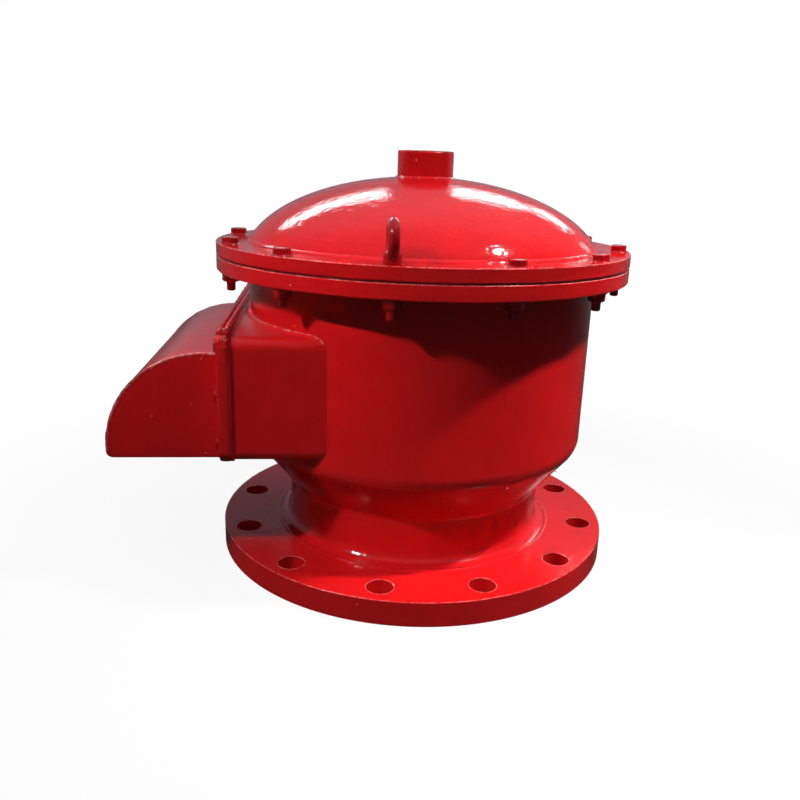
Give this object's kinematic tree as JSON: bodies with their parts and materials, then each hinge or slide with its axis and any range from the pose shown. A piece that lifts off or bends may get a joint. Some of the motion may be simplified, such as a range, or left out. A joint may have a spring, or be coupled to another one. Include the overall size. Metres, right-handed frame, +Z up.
{
  "type": "pressure vacuum relief valve",
  "caption": "Weldment with a round tank flange, a cylinder body, a dished bolted cover and a curved side hood, holding a weight-loaded pressure pallet and a spring-closed vacuum pallet.",
  "frame": {"origin": "centre of the tank flange face, in the plane that sits on the tank nozzle", "axes": "+Z up along the valve axis, -X towards the outlet hood"},
  "size_m": [0.4854, 0.4026, 0.3946],
  "materials": {
    "red_enamel": "thick glossy red enamel over steel plate, with brush marks, sags and weld beads under it",
    "stainless": "turned stainless steel, fine concentric marks",
    "cast_weight": "dull grey iron discs",
    "spring_steel": "drawn spring wire",
    "bronze": "bored bronze",
    "gasket": "dark fibre and rubber sheet",
    "soft_seal": "off-white fluoropolymer sheet"
  },
  "bodies": {
    "housing": {"base_flange": "red_enamel", "nozzle_tube": "red_enamel", "nozzle_collar": "red_enamel", "seat_gasket": "gasket", "pressure_seat_ring": "stainless", "seat_screws": "stainless", "body_shell": "red_enamel", "body_flange_ring": "red_enamel", "cover_gasket": "gasket", "cover_flange_ring": "red_enamel", "cover_dome": "red_enamel", "guide_boss": "red_enamel", "guide_bush": "bronze", "cover_bolts": "red_enamel", "cover_washers": "red_enamel", "cover_nuts": "red_enamel", "lifting_eye_front": "red_enamel", "lifting_eye_rear": "red_enamel", "outlet_duct": "red_enamel", "duct_flange": "red_enamel", "outlet_screen": "red_enamel", "hood_flange": "red_enamel", "rain_hood": "red_enamel", "hood_bolts": "red_enamel", "hood_nuts": "red_enamel"},
    "pressure_pallet": {"pressure_pallet_plate": "stainless", "pressure_seal": "soft_seal", "seal_retainer": "stainless", "retainer_screws": "stainless", "weight_lower": "cast_weight", "weight_upper": "cast_weight", "weight_studs": "stainless", "weight_nuts": "stainless", "vacuum_seat_ring": "stainless", "guide_spider": "stainless", "guide_sleeve": "stainless", "vacuum_spring": "spring_steel"},
    "vacuum_pallet": {"vacuum_pallet_plate": "stainless", "vacuum_seal": "soft_seal", "vacuum_clamp_disc": "stainless", "vacuum_stem": "stainless", "vacuum_clamp_nut": "stainless", "spring_cap": "stainless", "spring_nut": "stainless"}
  },
  "joints": [
    {"name": "pressure_lift", "type": "slide", "parent": "housing", "child": "pressure_pallet", "axis": [0, 0, 1], "range_m": [0, 0.04]},
    {"name": "vacuum_drop", "type": "slide", "parent": "pressure_pallet", "child": "vacuum_pallet", "axis": [0, 0, -1], "range_m": [0, 0.02], "stiffness_N_per_m": 420, "springref_m": -0.035, "deforming": ["vacuum_spring"]}
  ]
}
